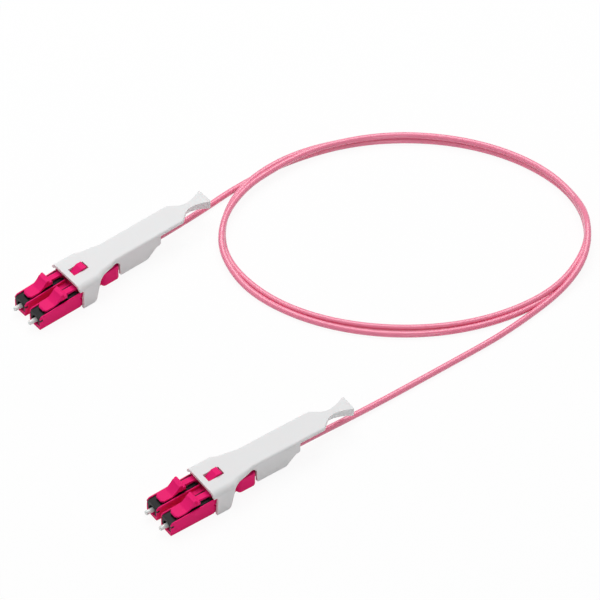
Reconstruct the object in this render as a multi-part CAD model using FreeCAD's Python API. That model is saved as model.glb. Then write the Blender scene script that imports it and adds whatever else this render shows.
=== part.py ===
import FreeCAD, Part
import math
import os
from FreeCAD import Placement, Rotation, Vector

# LC duplex uniboot patch cord: two push-pull-tab connectors joined by one thin cord in an oval loop.
#
# A connector is drawn in its own coordinates, in millimetres: x runs backwards from the front face of its
# plugs, y across it, z up from the surface that it lies on. It is then placed twice in the frame of the part,
# whose origin is under the middle of the near connector's housing.

os.makedirs("parts", exist_ok=True)

# ---- the standard connector -----------------------------------------------------------------------------
PITCH = 6.25            # between the axes of the two plugs
FERRULE_R = 0.625       # 1.25 mm ferrule
FERRULE_Z = 2.2         # height of the optical axis
FERRULE_OUT = 1.9       # how far a ferrule stands out of its plug

# ---- plug: outer shell, black frame, latch lever ----------------------------------------------------------
PLUG_LENGTH = 13.0
PLUG_HALF = 2.25
SHELL_WALL = 0.35
SHELL_FLOOR = 0.5
SHELL_TOP_FRONT = 4.6
SHELL_TOP_REAR = 5.2
CHIN_LENGTH = 1.0       # raised sill below the ferrule
CHIN_HEIGHT = 1.3
NOTCH = (0.9, 2.95, 3.55)   # length, bottom and top of the snap notch in the shell's walls
FRAME_TOP = 4.3
FRAME_BLOCK_X = 9.3     # where the frame rises beside the lever's rear arm
FRAME_BLOCK_TOP = 5.2
FRAME_REAR = 15.6
TAIL = (1.65, 0.55, 3.85)   # half width, bottom and top of the frame's rear end, held in the housing
MOUTH = (1.3, 3.2)          # radius and depth of the arched mouth round the ferrule
SEAT_X = 4.0            # face that the ferrule's flange rests on
CHAMBER_HALF = 1.4
LEVER_HALF = 1.6
ARM_HALF = 0.8
LUG_HALF = 2.05
LEVER_PIVOT = (2.9, 4.3)
PIVOT_R = 0.4
RUNNING_GAP = 0.06      # between a pivot and its groove or hole

# ---- ferrule train ----------------------------------------------------------------------------------------
FERRULE_STEP = 3.1          # behind it the ferrule is stepped down, where it is glued in its flange
FERRULE_TAIL_R = 0.45
FERRULE_REAR = 5.6
FLANGE_R = 1.35
FLANGE_REAR = 5.6
SPRING_REAR = 10.6
SPRING_MEAN_R = 1.05
SPRING_WIRE = 0.28
SPRING_TURNS = 4
SPRING_STEPS = 10           # straight steps in a turn
STOP_FRONT = 10.65
STOP_REAR = 16.4
STOP_BORE_R = 0.62
FIBRE_R = 0.45
FIBRE_BEND = (17.0, 24.2)   # where a fibre swings in to the middle
FIBRE_IN = 0.5              # its distance from the middle behind the bend
FIBRE_REAR = 32.4

# ---- uniboot housing --------------------------------------------------------------------------------------
HOUSING_FRONT = 13.05
HOUSING_WIDE_REAR = 17.0
HOUSING_HALF = 5.2
HOUSING_TOP = 5.5       # of the walls beside the lever tips
POCKET_HALF = 4.5       # room between them
WEB = (10.4, 0.8)       # front and half width of the web between the plugs
NECK = ((17.0, 4.3), (20.8, 3.0))       # stations and half widths of the tapering neck
NECK_BOTTOM = 0.9
NECK_WALL = 0.45
SHOULDER_FRONT = 20.8
SHOULDER_REAR = 26.8
SHOULDER_HALF = 4.15
SHOULDER_BOTTOM = 1.1
SHOULDER_TOP = 5.5
SHOULDER_ROUND = 1.1
SHOULDER_NOSE = 1.5     # rounding of its front corners, seen from above
BELLY_HALF = 2.6        # flat underside that the connector lies on
GUIDE = (2.6, 3.3, 4.9) # of the grooves that guide the tab: bottom, top, half the width between them
DECK_LOW = 4.1          # floor of the pocket under the lever tips
DECK_HIGH = 5.0
CHAMBER = (0.55, 3.85)  # bottom and top of the room behind the plugs
FIBRE_WAY = (1.5, 2.9)  # bottom and top of the way from there to the post
POST_R = 1.3
POST_BORE_R = 1.0
POST_REAR = 33.0
POST_PLATE = (25.2, 26.2, 1.7)      # front, rear and half width of the crimp post's square plate
RING_R = 1.6
BOOT_FRONT_R = 2.1
BOOT_REAR_R = 1.3
BOOT_REAR = 40.2
BOOT_TAPER = 30.5       # where the boot starts to taper

# ---- release trigger --------------------------------------------------------------------------------------
TRIGGER_PIVOT = (20.2, 5.6)
TRIGGER_HALF = 1.8
TRIGGER_TOP = 6.35
PUSH_BAR = (13.9, 15.2, 5.9)        # front, rear and underside of the bar over the lever tips
PUSH_BAR_HALF = 4.1
WEDGE_HALF = 1.2
WEDGE = [(14.5, 6.3), (14.5, 6.7), (16.7, 8.3), (18.2, 8.3), (18.2, 6.3)]
EAR = (2.0, 2.6)        # inner and outer faces of the ears that hold the trigger

# ---- push-pull tab ----------------------------------------------------------------------------------------
TAB_WALL = 0.6
TAB_TOP = 7.7
TAB_UNDER = 6.9         # underside of its plate
TAB_BOTTOM = 0.1
TAB_DRAFT = 0.2         # how much wider the collar is at the foot of its skirts
COLLAR_FRONT = 12.6
BAR_REAR = 48.0
WAIST = [               # stations from the collar's end to the bar: x, half width, rounding of the upper edges
    (18.7, 6.05, 1.8), (19.3, 6.0, 1.8), (20.9, 5.0, 1.3), (23.9, 4.25, 0.8), (26.0, 3.65, 0.6),
]
NECK_DOWN = (50.7, 1.35, 0.1)       # station where the bar has run in to the tail's neck
TAIL_REAR = 58.2
RAIL = (13.7, 16.2, 2.7, 3.2)       # front, rear, bottom and top of a rail that runs in the housing's groove
RAIL_THICK = 0.5
WINDOW = (14.2, 18.9, 1.35)         # front, rear and half width of the trigger's window

# ---- where the connectors lie -----------------------------------------------------------------------------
PLACES = {
    "near": Placement(Vector(-20.0, 0, 0), Rotation(Vector(0, 0, 1), 0.0)),
    "far": Placement(Vector(-7.8, 76.8, 0), Rotation(Vector(0, 0, 1), 3.5)),
}

# ---- cord -------------------------------------------------------------------------------------------------
CORD_R = 0.85
LOOP_CENTRE = Vector(88.0, 44.5, 0)
LOOP_TURN = -35.5       # direction of the loop's long axis, in degrees
LOOP_OUTER = (48.4, 36.9)
LOOP_INNER = (44.2, 32.4)
LOOP_HEIGHT = 3.2
CORD_EXIT = [(33.2, 0, 2.2), (44.0, 0, 2.2)]   # in connector coordinates: inside the boot, and just behind it
NEAR_LEAD = [
    (45.0, 0.5, CORD_R), (84.0, 1.4, CORD_R), (104.0, 4.0, CORD_R),
]
FAR_LEAD = [
    (50.5, 81.0, CORD_R), (64.5, 83.3, CORD_R),
]


def slab(x0, x1, half, z0, z1):
    """A block centred on y = 0."""
    return Part.makeBox(x1 - x0, 2 * half, z1 - z0, Vector(x0, -half, z0))


def rod(x0, x1, radius, y=0.0, z=FERRULE_Z):
    """A cylinder that runs backwards."""
    return Part.makeCylinder(radius, x1 - x0, Vector(x0, y, z), Vector(1, 0, 0))


def hexagon(x0, x1, radius):
    """A six-sided bar that runs backwards, by its corners' radius."""
    turns = [math.radians(60 * i) for i in range(7)]
    corners = [Vector(x0, radius * math.cos(t), FERRULE_Z + radius * math.sin(t)) for t in turns]
    return Part.Face(Part.makePolygon(corners)).extrude(Vector(x1 - x0, 0, 0))


def cross_pin(centre, radius, half):
    """A cylinder that runs across, centred on y = 0."""
    return Part.makeCylinder(radius, 2 * half, Vector(centre[0], -half, centre[1]), Vector(0, 1, 0))


def chain(points, to_vector):
    """A closed wire of straight lines, with an arc wherever an item holds its middle and end point."""
    edges = []
    start = last = to_vector(points[0])
    for item in points[1:]:
        if isinstance(item[0], tuple):
            middle, end = to_vector(item[0]), to_vector(item[1])
            edges.append(Part.Arc(last, middle, end).toShape())
        else:
            end = to_vector(item)
            edges.append(Part.LineSegment(last, end).toShape())
        last = end
    if last.distanceToPoint(start) > 1e-6:
        edges.append(Part.LineSegment(last, start).toShape())
    return Part.Wire(edges)


def side_shape(points, half):
    """An outline seen from the side, made 2 x half wide."""
    wire = chain(points, lambda p: Vector(p[0], -half, p[1]))
    return Part.Face(wire).extrude(Vector(0, 2 * half, 0))


def plan_shape(points, z0, z1):
    """An outline seen from above, made solid from z0 to z1."""
    wire = chain(points, lambda p: Vector(p[0], p[1], z0))
    return Part.Face(wire).extrude(Vector(0, 0, z1 - z0))


def tapered(points):
    """The outline of a symmetrical tapering shape from its stations and half widths, for plan_shape."""
    return list(points) + [(x, -half) for x, half in reversed(points)]


def rounded_box(x0, x1, y0, y1, front, rear):
    """The outline of a box, with the radii of its front and rear corners, for side_shape or plan_shape."""
    slack = 1 - math.sqrt(0.5)
    a, b = slack * front, slack * rear
    return [
        (x0 + front, y0), (x1 - rear, y0), ((x1 - b, y0 + b), (x1, y0 + rear)),
        (x1, y1 - rear), ((x1 - b, y1 - b), (x1 - rear, y1)), (x0 + front, y1),
        ((x0 + a, y1 - a), (x0, y1 - front)), (x0, y0 + front), ((x0 + a, y0 + a), (x0 + front, y0)),
    ]


def edges_where(shape, test):
    """The edges whose middle point and direction pass a test."""
    found = []
    for edge in shape.Edges:
        middle = edge.valueAt((edge.FirstParameter + edge.LastParameter) / 2)
        way = edge.tangentAt((edge.FirstParameter + edge.LastParameter) / 2)
        if test(middle, way):
            found.append(edge)
    return found


def plug_shell():
    """U-shaped shell, open on top, with a hollowed sill below the ferrule and a snap notch in each wall."""
    outline = [(0, 0), (PLUG_LENGTH, 0), (PLUG_LENGTH, SHELL_TOP_REAR), (0.7, SHELL_TOP_FRONT), (0, 4.0)]
    shell = side_shape(outline, PLUG_HALF)
    long_edges = edges_where(shell, lambda m, w: m.z < 0.01 and abs(w.x) > 0.9)
    shell = shell.makeFillet(0.5, long_edges)
    inner = PLUG_HALF - SHELL_WALL
    shell = shell.cut(slab(CHIN_LENGTH, PLUG_LENGTH + 1, inner, SHELL_FLOOR, 9))
    shell = shell.cut(slab(-1, CHIN_LENGTH, inner, CHIN_HEIGHT, 9))
    shell = shell.cut(rod(-1, CHIN_LENGTH + 1, MOUTH[0]))
    return shell.cut(slab(-1, NOTCH[0], 3, NOTCH[1], NOTCH[2]))


def plug_frame():
    """Black frame in the shell: arched mouth round the ferrule, spring chamber, and a groove for the lever."""
    inner = PLUG_HALF - SHELL_WALL
    outline = [
        (0.1, CHIN_HEIGHT), (CHIN_LENGTH, CHIN_HEIGHT), (CHIN_LENGTH, SHELL_FLOOR), (PLUG_LENGTH, SHELL_FLOOR),
        (PLUG_LENGTH, FRAME_BLOCK_TOP), (FRAME_BLOCK_X, FRAME_BLOCK_TOP), (FRAME_BLOCK_X, FRAME_TOP),
        (0.1, FRAME_TOP),
    ]
    frame = side_shape(outline, inner)
    ridge = edges_where(frame, lambda m, w: m.z > FRAME_BLOCK_TOP - 0.01 and abs(w.x) > 0.9)
    frame = frame.makeChamfer(0.2, ridge)
    frame = frame.fuse(slab(0.1, NOTCH[0], PLUG_HALF - 0.03, NOTCH[1], NOTCH[2]))
    frame = frame.fuse(slab(PLUG_LENGTH - 0.5, FRAME_REAR, *TAIL)).removeSplitter()
    frame = frame.cut(slab(FRAME_BLOCK_X - 0.1, PLUG_LENGTH + 0.1, ARM_HALF + 0.25, 4.2, 9))
    frame = frame.cut(cross_pin(LEVER_PIVOT, PIVOT_R + RUNNING_GAP, 1.3))
    frame = frame.cut(rod(-1, MOUTH[1], MOUTH[0]))
    frame = frame.cut(rod(MOUTH[1] - 0.1, SEAT_X + 0.1, FERRULE_R + 0.1))
    floor, ceiling = FERRULE_Z - CHAMBER_HALF, FERRULE_Z + CHAMBER_HALF
    return frame.cut(slab(SEAT_X, FRAME_REAR + 1, CHAMBER_HALF, floor, ceiling))


def latch_lever():
    """Latch lever: tongue, hollow ramp up to the two locking lugs, and an arm that runs under the tab."""
    front = [
        (2.3, 5.25), (2.0, 5.0), (2.0, 4.75), (5.0, 4.75), (6.9, 5.5), (9.0, 5.5), (9.0, 7.0), (8.3, 7.3),
        (7.9, 7.5), (7.4, 7.4), ((6.35, 6.15), (5.0, 5.25)),
    ]
    arm = [
        (8.5, 5.5), (13.2, 5.45), (13.6, 5.25), (15.0, 5.25), (15.0, 5.7), (13.8, 5.75), (13.2, 6.05),
        (9.4, 6.2), (9.0, 6.6), (8.5, 6.9),
    ]
    lug = [(8.1, 6.1), (9.0, 6.1), (9.0, 7.0), (8.7, 7.25), (8.3, 7.2), (8.1, 6.9)]
    nose = tapered([(2.0, LEVER_HALF - 0.7), (2.7, LEVER_HALF), (9.0, LEVER_HALF)])
    tongue = side_shape(front, LEVER_HALF).common(plan_shape(nose, 4, 8))
    lever = tongue.fuse(side_shape(arm, ARM_HALF)).fuse(side_shape(lug, LUG_HALF))
    lever = lever.fuse(slab(LEVER_PIVOT[0] - 0.35, LEVER_PIVOT[0] + 0.35, 1.2, LEVER_PIVOT[1], 4.8))
    return lever.fuse(cross_pin(LEVER_PIVOT, PIVOT_R, 1.2)).removeSplitter()


def ferrule():
    """Zirconia ferrule with a chamfered tip."""
    tip = rod(-FERRULE_OUT, FERRULE_STEP, FERRULE_R)
    tip = tip.makeChamfer(0.15, edges_where(tip, lambda m, w: m.x < 0.01 - FERRULE_OUT))
    return tip.fuse(rod(FERRULE_STEP - 0.5, FERRULE_REAR, FERRULE_TAIL_R)).removeSplitter()


def ferrule_flange():
    """Metal collar glued on the rear of the ferrule, six-sided so that it can be turned to tune the joint."""
    flange = hexagon(SEAT_X + 0.05, FLANGE_REAR, FLANGE_R)
    return flange.cut(rod(SEAT_X - 1, FLANGE_REAR + 1, FERRULE_TAIL_R))


def ferrule_spring():
    """Compression spring of square wire, wound in short straight steps."""
    front, rear = FLANGE_REAR + 0.05, SPRING_REAR - SPRING_WIRE
    count = SPRING_TURNS * SPRING_STEPS
    points = []
    for i in range(count + 1):
        angle = 2 * math.pi * i / SPRING_STEPS
        x = front + (rear - front) * i / count + SPRING_WIRE / 2
        points.append(Vector(x, SPRING_MEAN_R * math.cos(angle), FERRULE_Z + SPRING_MEAN_R * math.sin(angle)))
    path = Part.makePolygon(points)
    half = SPRING_WIRE / 2
    corners = [(-half, -half), (half, -half), (half, half), (-half, half), (-half, -half)]
    section = Part.makePolygon([points[0] + Vector(x, y, 0) for x, y in corners])
    return path.makePipeShell([section], True, False, 1)


def spring_stop():
    """Square tubular stop behind the spring."""
    half = CHAMBER_HALF - 0.02
    stop = slab(STOP_FRONT, STOP_REAR, half, FERRULE_Z - half, FERRULE_Z + half)
    return stop.cut(rod(STOP_FRONT - 1, STOP_REAR + 1, STOP_BORE_R))


def fibre(side):
    """Buffered fibre of the plug at y = side x PITCH / 2, which bends in to the middle of the housing."""
    x0, x1 = FIBRE_BEND
    y0, y1 = side * PITCH / 2, side * FIBRE_IN
    points = [Vector(FERRULE_REAR, y0, FERRULE_Z), Vector(x0, y0, FERRULE_Z), Vector(x1, y1, FERRULE_Z),
              Vector(FIBRE_REAR, y1, FERRULE_Z)]
    section = Part.Wire(Part.makeCircle(FIBRE_R, points[0], Vector(1, 0, 0)))
    return Part.makePolygon(points).makePipeShell([section], True, False, 1)


def swept_tube(path, start, way, radius):
    """A round solid along a path of lines and tangent arcs."""
    section = Part.Wire(Part.makeCircle(radius, start, way))
    return path.makePipeShell([section], True, False)


def housing_blank():
    """Outer form of the whole uniboot housing: wide part in the collar, neck, and the shoulders behind it."""
    wide = slab(HOUSING_FRONT, HOUSING_WIDE_REAR, HOUSING_HALF, 0, HOUSING_TOP)
    wide = wide.makeFillet(0.5, edges_where(wide, lambda m, w: m.z < 0.01 and abs(w.x) > 0.9))
    for side in (-1, 1):
        groove = slab(HOUSING_FRONT - 1, HOUSING_WIDE_REAR + 1, 1, GUIDE[0], GUIDE[1])
        groove.translate(Vector(0, side * (GUIDE[2] + 1), 0))
        wide = wide.cut(groove)
    neck = [(HOUSING_WIDE_REAR - 1, NECK[0][1]), *NECK, (SHOULDER_FRONT + 2, NECK[1][1])]
    neck = plan_shape(tapered(neck), NECK_BOTTOM, DECK_HIGH)
    length = (SHOULDER_FRONT, SHOULDER_REAR)
    side = rounded_box(*length, SHOULDER_BOTTOM, SHOULDER_TOP, SHOULDER_ROUND, SHOULDER_ROUND)
    plan = rounded_box(*length, -SHOULDER_HALF, SHOULDER_HALF, SHOULDER_NOSE, SHOULDER_ROUND)
    shoulders = side_shape(side, SHOULDER_HALF).common(plan_shape(plan, 0, SHOULDER_TOP))
    belly = slab(HOUSING_WIDE_REAR - 1, SHOULDER_REAR, BELLY_HALF, 0.0, 2.0)
    belly = belly.makeFillet(0.4, edges_where(belly, lambda m, w: m.z < 0.01 and abs(w.x) > 0.9))
    return wide.fuse(neck).fuse(shoulders).fuse(belly).removeSplitter()


def housing_hollows():
    """What is taken out of the housing: seats for both plugs and the crimp post, and the fibres' way."""
    front, rear, half = POST_PLATE
    cuts = [
        slab(front, rear, half, FERRULE_Z - half, FERRULE_Z + half),
        rod(rear - 0.1, SHOULDER_REAR + 1, POST_R),
    ]
    for y in (-PITCH / 2, PITCH / 2):
        seat = slab(HOUSING_FRONT - 1, FRAME_REAR, *TAIL)
        seat.translate(Vector(0, y, 0))
        cuts.append(seat)
    wide = PITCH / 2 + TAIL[0]
    cuts.append(slab(FRAME_REAR, STOP_REAR + 0.1, wide, *CHAMBER))
    (x0, half0), (x1, half1) = NECK
    way = [(STOP_REAR, half0 - NECK_WALL), (x0, half0 - NECK_WALL), (x1, half1 - NECK_WALL), (front, half)]
    cuts.append(plan_shape(tapered(way), *FIBRE_WAY))
    return cuts


def housing_half(keep):
    """One half of the housing, kept above or below the level of the fibres."""
    half = housing_blank().common(keep)
    for cut in housing_hollows():
        half = half.cut(cut)
    return half


def housing_base():
    """Lower half of the housing, with the web that stands between the two plugs."""
    base = housing_half(Part.makeBox(40, 20, FERRULE_Z + 5, Vector(0, -10, -5)))
    front, rear, foot = WEB[0], HOUSING_FRONT + 0.55, 0.9
    outline = [(front, foot), (rear, foot), (rear, FERRULE_Z), (PLUG_LENGTH, FERRULE_Z),
               (PLUG_LENGTH, FRAME_TOP), (front, FRAME_TOP)]
    return base.fuse(side_shape(outline, WEB[1])).removeSplitter()


def housing_cover():
    """Upper half of the housing: pocket under the lever tips, rising deck, and ears for the trigger."""
    cover = housing_half(Part.makeBox(40, 20, 10, Vector(0, -10, FERRULE_Z)))
    deck = [(HOUSING_FRONT - 1, DECK_LOW), (15.4, DECK_LOW), (18.6, DECK_HIGH), (18.6, 9),
            (HOUSING_FRONT - 1, 9)]
    cover = cover.cut(side_shape(deck, POCKET_HALF))
    cover = cover.cut(slab(18.5, 20.75, 1.95, DECK_HIGH - 0.1, 9))
    for y0 in (-EAR[1], EAR[0]):
        ear = Part.makeBox(1.6, EAR[1] - EAR[0], 1.6, Vector(19.4, y0, 4.6))
        cover = cover.fuse(ear)
    cover = cover.cut(cross_pin(TRIGGER_PIVOT, PIVOT_R + RUNNING_GAP, EAR[1] + 0.1))
    return cover.removeSplitter()


def release_trigger():
    """Trigger hinged at its rear: its bar lies over both lever tips, its wedge stands in the window."""
    outline = [
        (PUSH_BAR[1] - 0.2, PUSH_BAR[2]), (18.6, PUSH_BAR[2] - 0.1), (TRIGGER_PIVOT[0], 5.3),
        (TRIGGER_PIVOT[0], 6.0), (19.4, TRIGGER_TOP), (PUSH_BAR[1] - 0.2, TRIGGER_TOP),
    ]
    plate = side_shape(outline, TRIGGER_HALF)
    bar = slab(PUSH_BAR[0], PUSH_BAR[1], PUSH_BAR_HALF, PUSH_BAR[2], TRIGGER_TOP)
    wedge = side_shape(WEDGE, WEDGE_HALF)
    journal = cross_pin(TRIGGER_PIVOT, PIVOT_R, EAR[1])
    return plate.fuse(bar).fuse(wedge).fuse(journal).removeSplitter()


def crimp_post():
    """Metal tube at the rear of the housing, with a square plate that the two halves clamp."""
    front, rear, half = POST_PLATE
    post = rod(front, POST_REAR, POST_R).fuse(slab(front, rear, half, FERRULE_Z - half, FERRULE_Z + half))
    return post.removeSplitter().cut(rod(front - 1, POST_REAR + 1, POST_BORE_R))


def crimp_ring():
    """Sleeve over the post, crimped to six sides."""
    return hexagon(27.8, POST_REAR, RING_R).cut(rod(27, POST_REAR + 1, POST_R))


def cord_boot():
    """Tapered strain relief over the crimp, ending where the cord comes out."""
    outline = [(SHOULDER_REAR, 0), (SHOULDER_REAR, BOOT_FRONT_R), (BOOT_TAPER, BOOT_FRONT_R),
               (BOOT_REAR, BOOT_REAR_R), (BOOT_REAR, 0)]
    wire = chain(outline, lambda p: Vector(p[0], 0, FERRULE_Z + p[1]))
    boot = Part.Face(wire).revolve(Vector(0, 0, FERRULE_Z), Vector(1, 0, 0), 360)
    boot = boot.cut(rod(SHOULDER_REAR - 1, POST_REAR + 0.2, RING_R))
    return boot.cut(rod(POST_REAR, BOOT_REAR + 1, CORD_R))


def tab_section(x, half, corner):
    """Outline across the outside of the tab at one station."""
    slack = corner * (1 - math.sqrt(0.5))
    collar_half, bar_half = WAIST[0][1], WAIST[-1][1]
    foot = half + TAB_DRAFT * max(0.0, half - bar_half) / (collar_half - bar_half)
    outline = [
        (-foot, TAB_BOTTOM), (-half, TAB_TOP - corner),
        ((slack - half, TAB_TOP - slack), (corner - half, TAB_TOP)), (half - corner, TAB_TOP),
        ((half - slack, TAB_TOP - slack), (half, TAB_TOP - corner)), (foot, TAB_BOTTOM),
    ]
    return chain(outline, lambda p: Vector(x, p[0], p[1]))


def room_section(x, half, corner):
    """Outline across the hollow of the tab at one station, with chamfered corners below the rounded ones."""
    inner = half - TAB_WALL
    cut = max(0.1, corner - 0.9)
    outline = [(-inner, -1), (-inner, TAB_UNDER - cut), (cut - inner, TAB_UNDER),
               (inner - cut, TAB_UNDER), (inner, TAB_UNDER - cut), (inner, -1)]
    return chain(outline, lambda p: Vector(x, p[0], p[1]))


def tab_form(section, front):
    """Collar, waist and bar in one piece, from the outlines that a function gives at the stations."""
    collar = Part.Face(section(front, *WAIST[0][1:])).extrude(Vector(WAIST[0][0] - front, 0, 0))
    waist = Part.makeLoft([section(*station) for station in WAIST], True, True)
    bar = Part.Face(section(*WAIST[-1])).extrude(Vector(BAR_REAR - WAIST[-1][0], 0, 0))
    return collar.fuse(waist).fuse(bar)


def push_pull_tab():
    """White tab: collar with two skirts, window, bar with side walls, and a tail to pull by."""
    body = tab_form(tab_section, COLLAR_FRONT)
    run_in = Part.makeLoft([tab_section(BAR_REAR, *WAIST[-1][1:]), tab_section(*NECK_DOWN)], True, True)
    body = body.fuse(run_in).cut(tab_form(room_section, COLLAR_FRONT - 1))
    below = [
        (0, 6.1), (13.2, 6.1), ((13.62, 5.92), (13.8, 5.5)), (13.3, 0), (16.2, 0),
        ((17.3, 0.4), (17.8, 1.4)), (19.05, 6.0), ((19.3, 6.37), (19.8, 6.5)), (24.5, 6.5),
        ((26.3, 6.2), (27.2, 5.0)), (27.2, 1.6), ((27.35, 1.24), (27.7, 1.1)), (35.6, 1.1),
        ((36.4, 1.3), (37.0, 1.9)), (38.6, 3.3), ((39.3, 3.75), (40.0, 3.8)), ((40.35, 4.0), (40.5, 4.4)),
        (40.5, TAB_UNDER), (60, TAB_UNDER), (60, -2), (0, -2),
    ]
    body = body.cut(side_shape(below, 9))
    front, rear, half = WINDOW
    body = body.cut(slab(front, rear, half, 5, 9))
    foot = TAB_UNDER - 0.05
    lead_in = [(front - 0.25, foot), (front + 0.05, foot), (front + 0.05, foot + 0.3)]
    body = body.cut(side_shape(lead_in, half))
    inner = WAIST[0][1] - TAB_WALL
    for side in (-1, 1):
        rail = slab(RAIL[0], RAIL[1], RAIL_THICK / 2 + 0.1, RAIL[2], RAIL[3])
        rail.translate(Vector(0, side * (inner - RAIL_THICK / 2 + 0.1), 0))
        body = body.fuse(rail)
    return body.fuse(tab_tail()).removeSplitter()


def tab_tail():
    """Tail of the tab: a neck that flares into a grip."""
    neck_x, neck_half = NECK_DOWN[0], NECK_DOWN[1]
    front = neck_x - 0.5
    plan = [
        (front, neck_half), (neck_x, neck_half), ((52.5, 0.95), (54.0, 1.1)), ((55.8, 1.6), (57.4, 2.3)),
        ((58.1, 2.1), (TAIL_REAR, 1.5)), (TAIL_REAR, -1.5), ((58.1, -2.1), (57.4, -2.3)),
        ((55.8, -1.6), (54.0, -1.1)), ((52.5, -0.95), (neck_x, -neck_half)), (front, -neck_half),
    ]
    side = [
        (front, TAB_TOP), (front, TAB_UNDER), ((52.4, 6.1), (54.4, 5.7)), (57.4, 5.1),
        ((58.1, 5.2), (TAIL_REAR, 5.6)), (TAIL_REAR, 7.0), ((58.0, 7.55), (57.4, TAB_TOP)),
    ]
    return plan_shape(plan, 3, 9).common(side_shape(side, 6))


def cord_path(points):
    """Straight runs joined by arcs as large as the runs allow. Returns the wire, its length and radii."""
    route = [Vector(*p) for p in points]
    edges, radii = [], []
    last = route[0]
    for before, corner, after in zip(route, route[1:], route[2:]):
        back = (before - corner).normalize()
        on = (after - corner).normalize()
        half_turn = (math.pi - back.getAngle(on)) / 2
        reach = 0.45 * min((corner - before).Length, (after - corner).Length)
        radius = reach / math.tan(half_turn)
        radii.append(radius)
        start, end = corner + back * reach, corner + on * reach
        inward = (back + on).normalize()
        centre = corner + inward * (radius / math.cos(half_turn))
        edges.append(Part.LineSegment(last, start).toShape())
        edges.append(Part.Arc(start, centre - inward * radius, end).toShape())
        last = end
    edges.append(Part.LineSegment(last, route[-1]).toShape())
    return Part.Wire(edges), sum(e.Length for e in edges), radii


def cord_lead(end, points):
    """A lead of the cord as a round tube out of a connector's boot. Prints its radii and its volume."""
    start = [tuple(PLACES[end].multVec(Vector(*p))) for p in CORD_EXIT]
    path, length, radii = cord_path(start + points)
    lead = swept_tube(path, Vector(*start[0]), Vector(*start[1]) - Vector(*start[0]), CORD_R)
    share = lead.Volume / (math.pi * CORD_R ** 2 * length)
    print(end, "lead: length %.1f mm, volume / (section x length) %.4f" % (length, share))
    print(end, "lead: arc radii in mm", " ".join("%.0f" % r for r in radii))
    return lead


def cord_coil():
    """The loop's turns as one oval ring, lying on the surface."""
    turn = Placement(LOOP_CENTRE, Rotation(Vector(0, 0, 1), LOOP_TURN))
    faces = []
    for semi_x, semi_y in (LOOP_OUTER, LOOP_INNER):
        oval = Part.Ellipse(Vector(0, 0, 0), semi_x, semi_y).toShape()
        faces.append(Part.Face(Part.Wire(oval)).extrude(Vector(0, 0, LOOP_HEIGHT)))
    ring = faces[0].cut(faces[1])
    ring.Placement = turn
    return ring


def connector():
    """Every piece of a connector, in connector coordinates, by name."""
    pieces = {
        "housing_base": housing_base(),
        "housing_cover": housing_cover(),
        "release_trigger": release_trigger(),
        "crimp_post": crimp_post(),
        "crimp_ring": crimp_ring(),
        "cord_boot": cord_boot(),
        "push_pull_tab": push_pull_tab(),
    }
    plug_pieces = {
        "plug_shell": plug_shell(),
        "plug_frame": plug_frame(),
        "latch_lever": latch_lever(),
        "ferrule": ferrule(),
        "ferrule_flange": ferrule_flange(),
        "ferrule_spring": ferrule_spring(),
        "spring_stop": spring_stop(),
    }
    for side_name, side in (("left", 1), ("right", -1)):
        for name, shape in plug_pieces.items():
            moved = shape.copy()
            moved.translate(Vector(0, side * PITCH / 2, 0))
            pieces["%s_%s" % (side_name, name)] = moved
        pieces["%s_fibre" % side_name] = fibre(side)
    return pieces


def save(name, shape):
    """Writes one node, after a test that it is sound."""
    solids = shape.Solids
    if not solids or not all(s.isValid() for s in solids):
        raise ValueError(name + " isn't a valid solid")
    if len(solids) == 1:
        shape = solids[0]
    shape.exportStep("parts/%s.step" % name)
    return shape.Volume


def main():
    nodes = {}
    pieces = connector()
    for end, place in PLACES.items():
        for name, shape in pieces.items():
            placed = shape.copy()
            placed.Placement = place.multiply(shape.Placement)
            nodes["%s_%s" % (end, name)] = placed
    nodes["cord_coil"] = cord_coil()
    nodes["cord_near_lead"] = cord_lead("near", NEAR_LEAD)
    nodes["cord_far_lead"] = cord_lead("far", FAR_LEAD)
    for name, shape in nodes.items():
        volume = save(name, shape)
        print("%-30s solids %d, faces %3d, volume %8.2f" % (name, len(shape.Solids), len(shape.Faces), volume))
    print(len(nodes), "nodes")


main()
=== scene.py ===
import logging
import math
from dataclasses import dataclass
from enum import Enum

import bmesh
import bpy
from mathutils import Matrix, Vector


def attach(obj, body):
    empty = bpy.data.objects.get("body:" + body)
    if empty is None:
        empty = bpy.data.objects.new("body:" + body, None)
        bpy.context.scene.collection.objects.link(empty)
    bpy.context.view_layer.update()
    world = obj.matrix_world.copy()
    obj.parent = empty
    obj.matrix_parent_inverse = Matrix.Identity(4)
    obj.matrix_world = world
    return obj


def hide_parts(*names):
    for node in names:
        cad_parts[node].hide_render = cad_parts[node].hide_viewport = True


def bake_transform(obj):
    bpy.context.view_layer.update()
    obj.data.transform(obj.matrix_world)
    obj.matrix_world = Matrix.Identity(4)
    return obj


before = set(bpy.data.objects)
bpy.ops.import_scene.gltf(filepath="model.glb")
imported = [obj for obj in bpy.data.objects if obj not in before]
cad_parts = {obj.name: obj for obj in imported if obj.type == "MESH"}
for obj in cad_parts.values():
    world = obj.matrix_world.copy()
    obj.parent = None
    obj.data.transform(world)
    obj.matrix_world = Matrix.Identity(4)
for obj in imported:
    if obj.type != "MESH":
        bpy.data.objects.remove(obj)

log = logging.getLogger("patch_cord")

# Lengths are in millimetres where nothing else is said, and MM turns them into the scene's metres.
MM = 0.001
PLUG_ACROSS = 3.125     # how far a plug's axis is from the connector's middle
AXIS_HEIGHT = 2.2       # height of the plugs' axes, and of the boot's
MERGE = 0.0005          # vertices closer together than this are one

Colour = tuple[float, float, float]
Point = tuple[float, float, float]


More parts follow.
